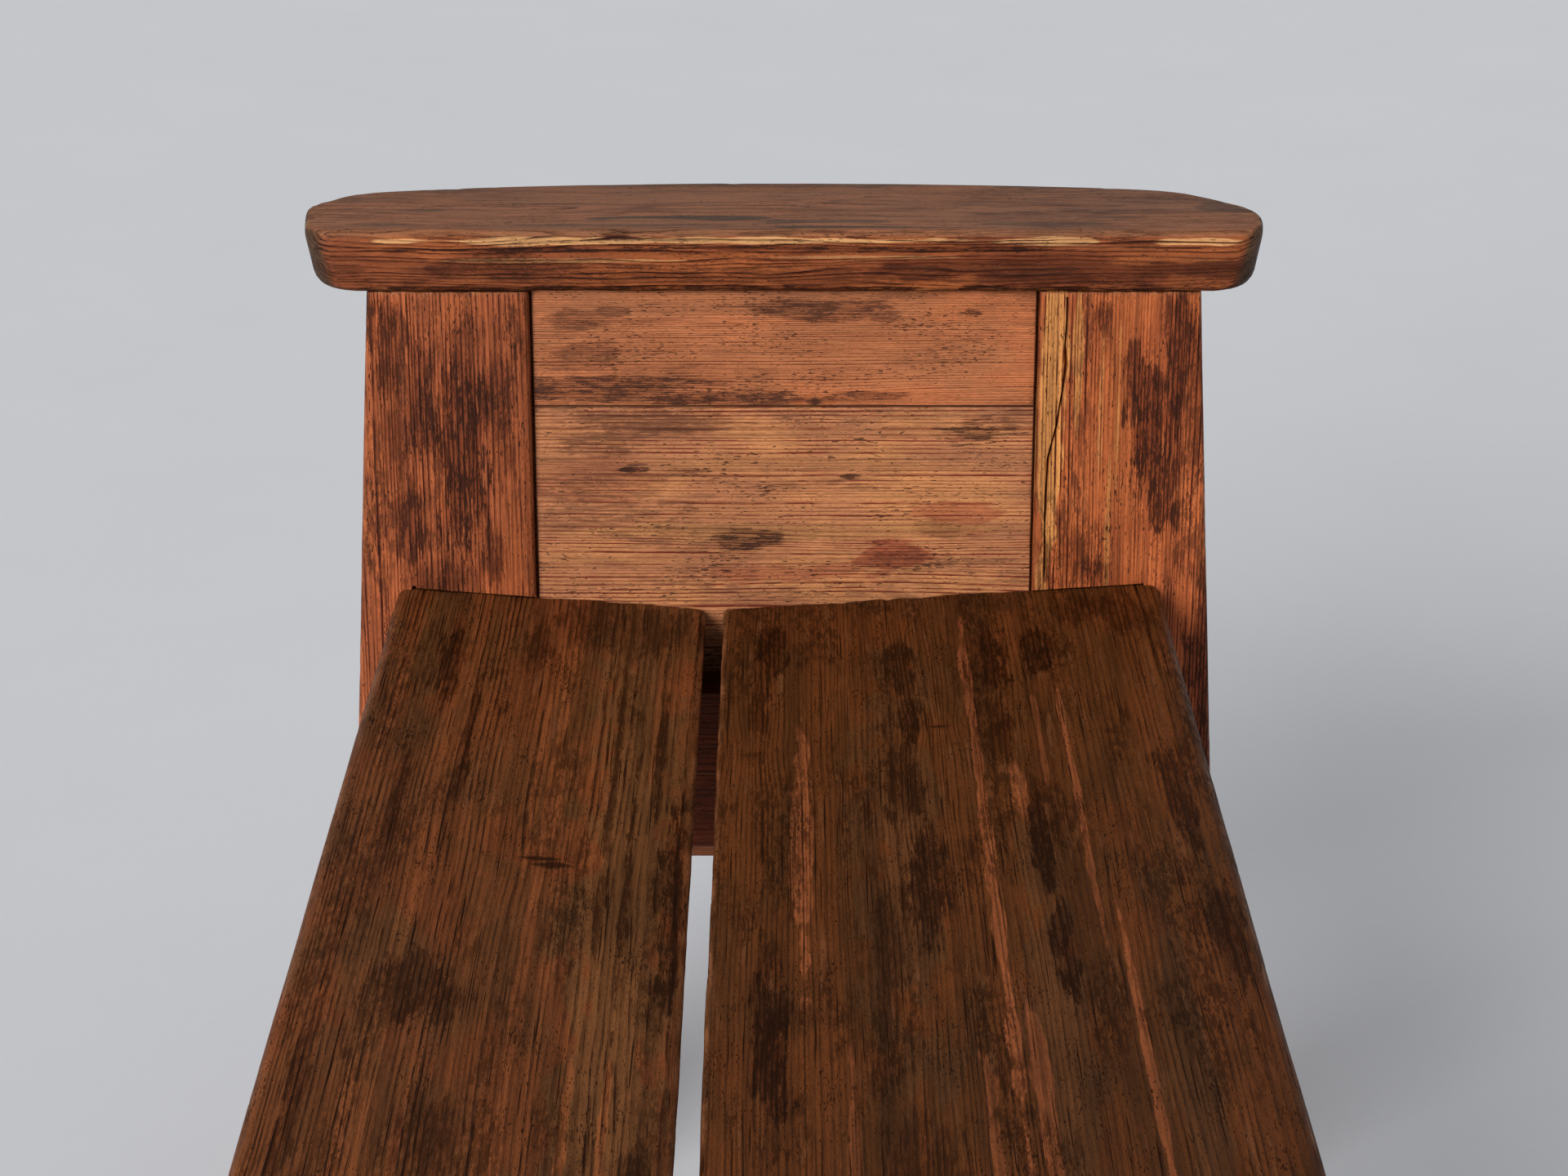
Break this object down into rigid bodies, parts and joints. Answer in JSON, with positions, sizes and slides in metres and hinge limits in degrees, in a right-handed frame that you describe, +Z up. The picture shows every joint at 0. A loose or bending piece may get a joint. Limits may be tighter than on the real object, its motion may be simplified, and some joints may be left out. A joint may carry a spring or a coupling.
{
  "type": "monks bench",
  "caption": "Solid pine bench with panelled ends, flat bowed arms and a seat of boards that slope to a gap along the middle.",
  "frame": {"origin": "on the floor under the middle of the bench", "axes": "+X along the bench, +Y from the narrow seat board's side to the wide board's side, +Z up"},
  "size_m": [1.498, 0.5558, 0.652],
  "materials": {
    "arm_pine": "stained and waxed pine, reddish brown, worn lighter along its upper edges",
    "post_pine": "stained and waxed pine, upright grain, dark blotches",
    "panel_pine": "stained and waxed pine, golden brown, grain along the bench's depth",
    "seat_pine": "dark worn pine, grain along the bench, lighter streaks and knots",
    "frame_pine": "brown stained pine, sawn and planed, little worn",
    "dowel_wood": "plain hardwood dowel",
    "steel_screw": "darkened steel, slotted head"
  },
  "bodies": {
    "root": {"batten_screws": "steel_screw", "front_seat_board": "seat_pine", "left_arm": "arm_pine", "left_arm_dowels": "dowel_wood", "left_bearer": "frame_pine", "left_bearer_screws": "steel_screw", "left_front_post": "post_pine", "left_lower_panel_board": "panel_pine", "left_middle_panel_board": "panel_pine", "left_rear_post": "post_pine", "left_seat_dowels": "dowel_wood", "left_upper_panel_board": "panel_pine", "middle_batten": "frame_pine", "rear_seat_board": "seat_pine", "right_arm": "arm_pine", "right_arm_dowels": "dowel_wood", "right_bearer": "frame_pine", "right_bearer_screws": "steel_screw", "right_front_post": "post_pine", "right_lower_panel_board": "panel_pine", "right_middle_panel_board": "panel_pine", "right_rear_post": "post_pine", "right_seat_dowels": "dowel_wood", "right_upper_panel_board": "panel_pine", "spine_rail": "frame_pine"}
  },
  "joints": []
}
